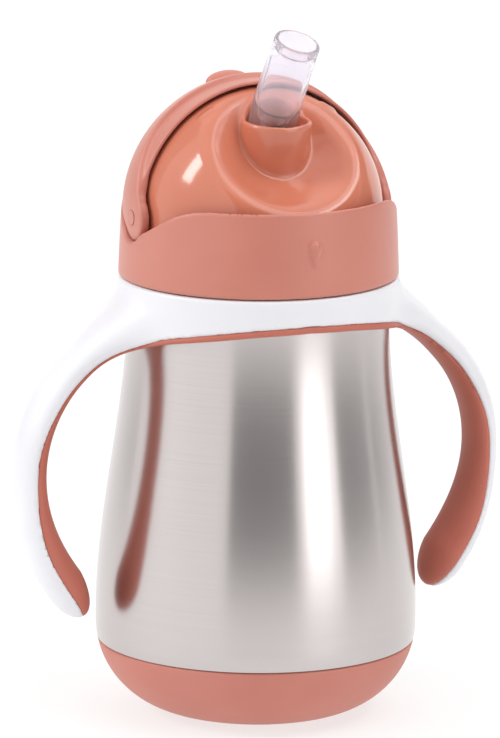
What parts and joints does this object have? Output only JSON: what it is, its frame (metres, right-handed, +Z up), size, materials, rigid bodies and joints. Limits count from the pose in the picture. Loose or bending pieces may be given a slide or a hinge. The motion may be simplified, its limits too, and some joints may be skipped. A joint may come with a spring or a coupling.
{
  "type": "sippy cup",
  "caption": "Double-wall steel training cup with two open handles, soft boot, screw lid, folding straw spout and swinging cover.",
  "frame": {"origin": "centre of the base, on the surface that the cup stands on", "axes": "+Z up, -Y towards the drinker (straw and front pip), handles along -X and +X"},
  "size_m": [0.1224, 0.0764, 0.1657],
  "materials": {
    "brushed_steel": "fine brushing round the body",
    "liner_steel": "satin",
    "solder": "dull",
    "terracotta_silicone": "matte silicone",
    "terracotta_soft": "soft matte overmould",
    "terracotta_matte": "fine matte",
    "terracotta_gloss": "gloss",
    "white_plastic": "satin",
    "clear_silicone": "clear silicone",
    "clear_plastic": "clear plastic"
  },
  "bodies": {
    "bottle": {"outer_shell": "brushed_steel", "inner_liner": "liner_steel", "base_plate": "liner_steel", "vacuum_plug": "solder", "getter_pellet": "solder", "base_boot": "terracotta_silicone", "handle_frame": "white_plastic", "handle_grip": "terracotta_soft"},
    "lid_seal": {"lid_gasket": "clear_silicone"},
    "lid": {"lid_collar": "terracotta_matte", "lid_dome": "terracotta_gloss", "vent_valve": "clear_silicone", "spout_straw": "clear_silicone", "dip_straw": "clear_plastic"},
    "cover": {"visor_cover": "terracotta_matte", "pivot_pin_left": "terracotta_gloss", "pivot_pin_right": "terracotta_gloss"}
  },
  "joints": [
    {"name": "lid_rise", "type": "slide", "parent": "bottle", "child": "lid_seal", "axis": [0, 0, 1], "range_m": [0, 0.005]},
    {"name": "lid_turn", "type": "hinge", "parent": "lid_seal", "child": "lid", "pos_m": [0, 0, 0.1132], "axis": [0, 0, 1], "range_deg": [0, 432]},
    {"name": "visor_swing", "type": "hinge", "parent": "lid", "child": "cover", "pos_m": [0, 0, 0.1206], "axis": [1, 0, 0], "range_deg": [0, 90], "deforming": ["spout_straw"]}
  ],
  "couplings": [
    {"joint": "lid_rise", "follows": "lid_turn", "m_per_rad": 0.00063662}
  ]
}
